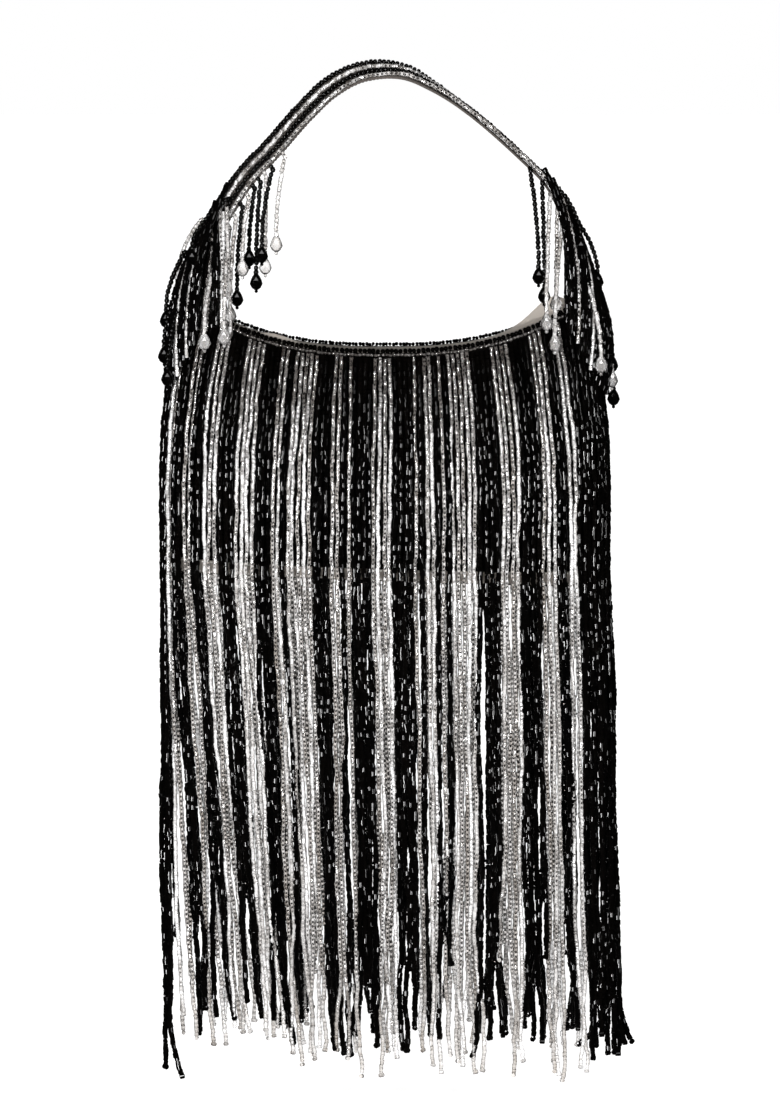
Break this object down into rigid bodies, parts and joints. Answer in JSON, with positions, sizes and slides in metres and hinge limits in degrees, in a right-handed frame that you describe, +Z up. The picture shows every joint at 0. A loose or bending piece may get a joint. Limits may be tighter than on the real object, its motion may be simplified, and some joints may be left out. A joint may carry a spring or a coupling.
{
  "type": "beaded fringe handbag",
  "caption": "Soft open handbag on a bead-covered arched strap, with a beaded mouth, a long all-round curtain of black and clear bead strings, and short teardrop bead drops on the strap.",
  "frame": {"origin": "underside of the strap at its top, where the bag hangs on a hand, arm or hook", "axes": "+Z up, +X to the right of someone facing the front of the bag, front faces -Y"},
  "size_m": [0.2088, 0.0492, 0.4644],
  "materials": {
    "black_cloth": "matt black cloth with a fine weave",
    "satin_lining": "brown-grey satin",
    "hem_tape": "grey-brown ribbed tape with light stitches",
    "strap_tape": "black woven tape",
    "black_beads": "polished opaque black glass",
    "clear_beads": "polished clear crystal glass"
  },
  "bodies": {
    "root": {"pouch": "black_cloth", "lining": "satin_lining", "hem_band": "hem_tape", "rim_front_black": "black_beads", "rim_front_clear": "clear_beads", "rim_back_black": "black_beads", "rim_back_clear": "clear_beads", "handle_tape": "strap_tape", "handle_row_1": "black_beads", "handle_row_2": "clear_beads", "handle_row_3": "black_beads", "handle_row_4": "clear_beads", "fringe_front_black": "black_beads", "fringe_front_clear": "clear_beads", "fringe_back_black": "black_beads", "fringe_back_clear": "clear_beads", "drop_left_1": "clear_beads", "drop_left_2": "black_beads", "drop_left_3": "clear_beads", "drop_left_4": "black_beads", "drop_left_5": "black_beads", "drop_left_6": "clear_beads", "drop_left_7": "black_beads", "drop_left_8": "clear_beads", "drop_left_9": "clear_beads", "drop_left_10": "clear_beads", "drop_left_11": "black_beads", "drop_left_12": "clear_beads", "drop_left_13": "black_beads", "drop_left_14": "black_beads", "drop_left_15": "black_beads", "drop_right_1": "black_beads", "drop_right_2": "black_beads", "drop_right_3": "clear_beads", "drop_right_4": "clear_beads", "drop_right_5": "clear_beads", "drop_right_6": "black_beads", "drop_right_7": "black_beads", "drop_right_8": "clear_beads", "drop_right_9": "black_beads", "drop_right_10": "clear_beads", "drop_right_11": "black_beads"}
  },
  "joints": []
}
